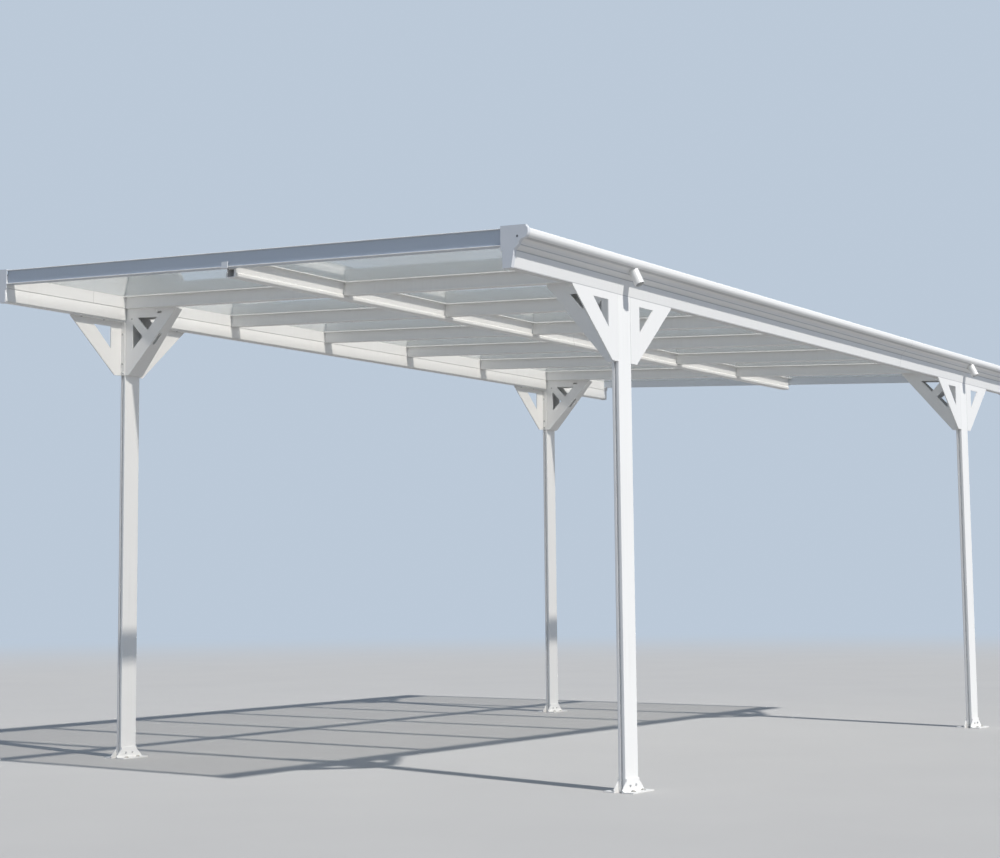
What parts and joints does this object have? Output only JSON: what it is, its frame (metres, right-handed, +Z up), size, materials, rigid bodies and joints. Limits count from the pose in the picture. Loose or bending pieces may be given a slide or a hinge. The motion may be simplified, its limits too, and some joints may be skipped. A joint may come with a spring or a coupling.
{
  "type": "free-standing aluminium carport with a clear single-pitch roof",
  "caption": "Open single-car carport: white aluminium frame on braced posts, single-pitch roof of clear twin-wall sheets, edge gutters and outlet spouts.",
  "frame": {"origin": "middle of the whole carport, on the floor", "axes": "+X across, towards the low side with the spouts; +Y along the carport, away from its front end; +Z up"},
  "size_m": [2.9208, 4.955, 2.1866],
  "materials": {
    "frame_white": "satin white powder coat on aluminium",
    "post_white": "satin white powder coat on aluminium",
    "brace_white": "satin white powder coat on aluminium plate",
    "foot_white": "satin white powder coat, dusty at the ground",
    "cap_white": "pale moulded plastic",
    "spout_white": "white moulded plastic",
    "clear_sheet": "clear twin-wall polycarbonate, ribs across the roof"
  },
  "bodies": {
    "root": {"beam_clip_back": "cap_white", "beam_clip_front": "cap_white", "cross_brace_back_left": "brace_white", "cross_brace_back_right": "brace_white", "cross_brace_front_left": "brace_white", "cross_brace_front_right": "brace_white", "end_profile_back": "frame_white", "end_profile_front": "frame_white", "foot_back_left": "foot_white", "foot_back_right": "foot_white", "foot_front_left": "foot_white", "foot_front_right": "foot_white", "glazing_caps": "frame_white", "middle_beam": "frame_white", "post_back_left": "post_white", "post_back_right": "post_white", "post_front_left": "post_white", "post_front_right": "post_white", "rafter_1": "frame_white", "rafter_2": "frame_white", "rafter_3": "frame_white", "rafter_4": "frame_white", "rafter_5": "frame_white", "rafter_6": "frame_white", "rail_brace_back_left": "brace_white", "rail_brace_back_right": "brace_white", "rail_brace_front_left": "brace_white", "rail_brace_front_right": "brace_white", "rail_cap_back_left": "cap_white", "rail_cap_back_right": "cap_white", "rail_cap_front_left": "cap_white", "rail_cap_front_right": "cap_white", "roof_panel_1": "clear_sheet", "roof_panel_2": "clear_sheet", "roof_panel_3": "clear_sheet", "roof_panel_4": "clear_sheet", "roof_panel_5": "clear_sheet", "roof_panel_6": "clear_sheet", "roof_panel_7": "clear_sheet", "side_rail_left": "frame_white", "side_rail_right": "frame_white", "spout_back": "spout_white", "spout_front": "spout_white"}
  },
  "joints": []
}
